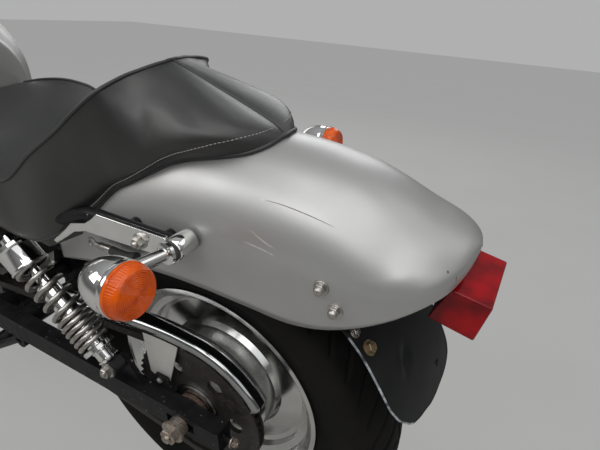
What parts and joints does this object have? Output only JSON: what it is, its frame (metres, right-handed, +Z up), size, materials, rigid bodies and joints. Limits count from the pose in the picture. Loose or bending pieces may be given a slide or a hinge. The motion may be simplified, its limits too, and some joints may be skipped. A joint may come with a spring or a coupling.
{
  "type": "cruiser motorcycle",
  "caption": "Cruiser motorcycle with a finned V-twin engine, chain drive and low stepped seat, leaning on its side stand.",
  "frame": {"origin": "on the ground under the middle of the overall box, with the machine leaning on its side stand", "axes": "+X forwards, +Y to the machine's left, +Z up"},
  "size_m": [2.3689, 0.9735, 1.2713],
  "materials": {
    "amber_lens": "amber translucent lens",
    "axle_steel": "plated steel with brown rust",
    "black_frame": "satin black enamel, worn at the edges",
    "black_plastic": "black moulded plastic",
    "black_rubber": "moulded rubber",
    "chain_steel": "dark oiled steel",
    "chrome": "polished chrome, lightly pitted",
    "clear_lens": "clear fluted glass",
    "cylinder_black": "black finned alloy",
    "disc_steel": "ground stainless disc",
    "engine_alloy": "cast alloy, clear lacquer",
    "polished_alloy": "polished alloy",
    "red_lens": "red translucent lens",
    "satin_black": "satin black sheet, dusty",
    "seat_vinyl": "black grained vinyl",
    "silver_paint": "metallic silver-grey paint, satin",
    "spring_steel": "bare plated spring wire",
    "tyre_rubber": "black tyre rubber, dusty"
  },
  "bodies": {
    "chassis": {"frame": "black_frame", "swingarm": "black_frame", "rear_axle": "axle_steel", "crankcase": "engine_alloy", "front_cylinder": "cylinder_black", "rear_cylinder": "cylinder_black", "air_cleaner": "chrome", "front_sprocket": "chain_steel", "sprocket_cover": "chrome", "radiator": "satin_black", "exhaust_lower": "chrome", "exhaust_upper": "chrome", "fuel_tank": "silver_paint", "seat": "seat_vinyl", "battery_box": "black_plastic", "side_covers": "silver_paint", "rear_fender": "silver_paint", "inner_mudguard": "satin_black", "strut_left": "chrome", "strut_right": "chrome", "rear_indicators": "chrome", "rear_signal_lenses": "amber_lens", "tail_lamp": "red_lens", "shock_left": "chrome", "shock_right": "chrome", "springs": "spring_steel", "chain": "chain_steel", "chain_guard": "chrome", "brake_plate": "polished_alloy", "foot_controls": "axle_steel"},
    "stand": {"side_stand": "black_frame"},
    "steering": {"yokes": "polished_alloy", "fork_left": "polished_alloy", "fork_right": "polished_alloy", "handlebar": "chrome", "grips": "black_rubber", "hand_controls": "chrome", "headlight": "chrome", "headlight_lens": "clear_lens", "front_indicators": "chrome", "front_signal_lenses": "amber_lens", "speedometer": "chrome", "front_fender": "silver_paint", "brake_caliper": "satin_black", "front_axle": "axle_steel"},
    "front_wheel": {"front_wheel_rim": "chrome", "front_tyre": "tyre_rubber", "brake_disc": "disc_steel"},
    "rear_wheel": {"rear_wheel_disc": "polished_alloy", "rear_tyre": "tyre_rubber", "rear_sprocket": "chain_steel"}
  },
  "joints": [
    {"name": "rear_wheel_spin", "type": "hinge", "parent": "chassis", "child": "rear_wheel", "pos_m": [-0.78051, -0.08549, 0.32676], "axis": [0, 0.9925, -0.1219], "continuous": true},
    {"name": "steering_turn", "type": "hinge", "parent": "chassis", "child": "steering", "pos_m": [0.4636, -0.03026, 0.77658], "axis": [-0.5736, 0.0998, 0.813], "range_deg": [-38, 38]},
    {"name": "front_wheel_spin", "type": "hinge", "parent": "steering", "child": "front_wheel", "pos_m": [0.86449, -0.0861, 0.3218], "axis": [0, 0.9925, -0.1219], "continuous": true},
    {"name": "stand_fold", "type": "hinge", "parent": "chassis", "child": "stand", "pos_m": [-0.14051, 0.03377, 0.18215], "axis": [0.1691, 0.7164, 0.6769], "range_deg": [0, 95]}
  ]
}
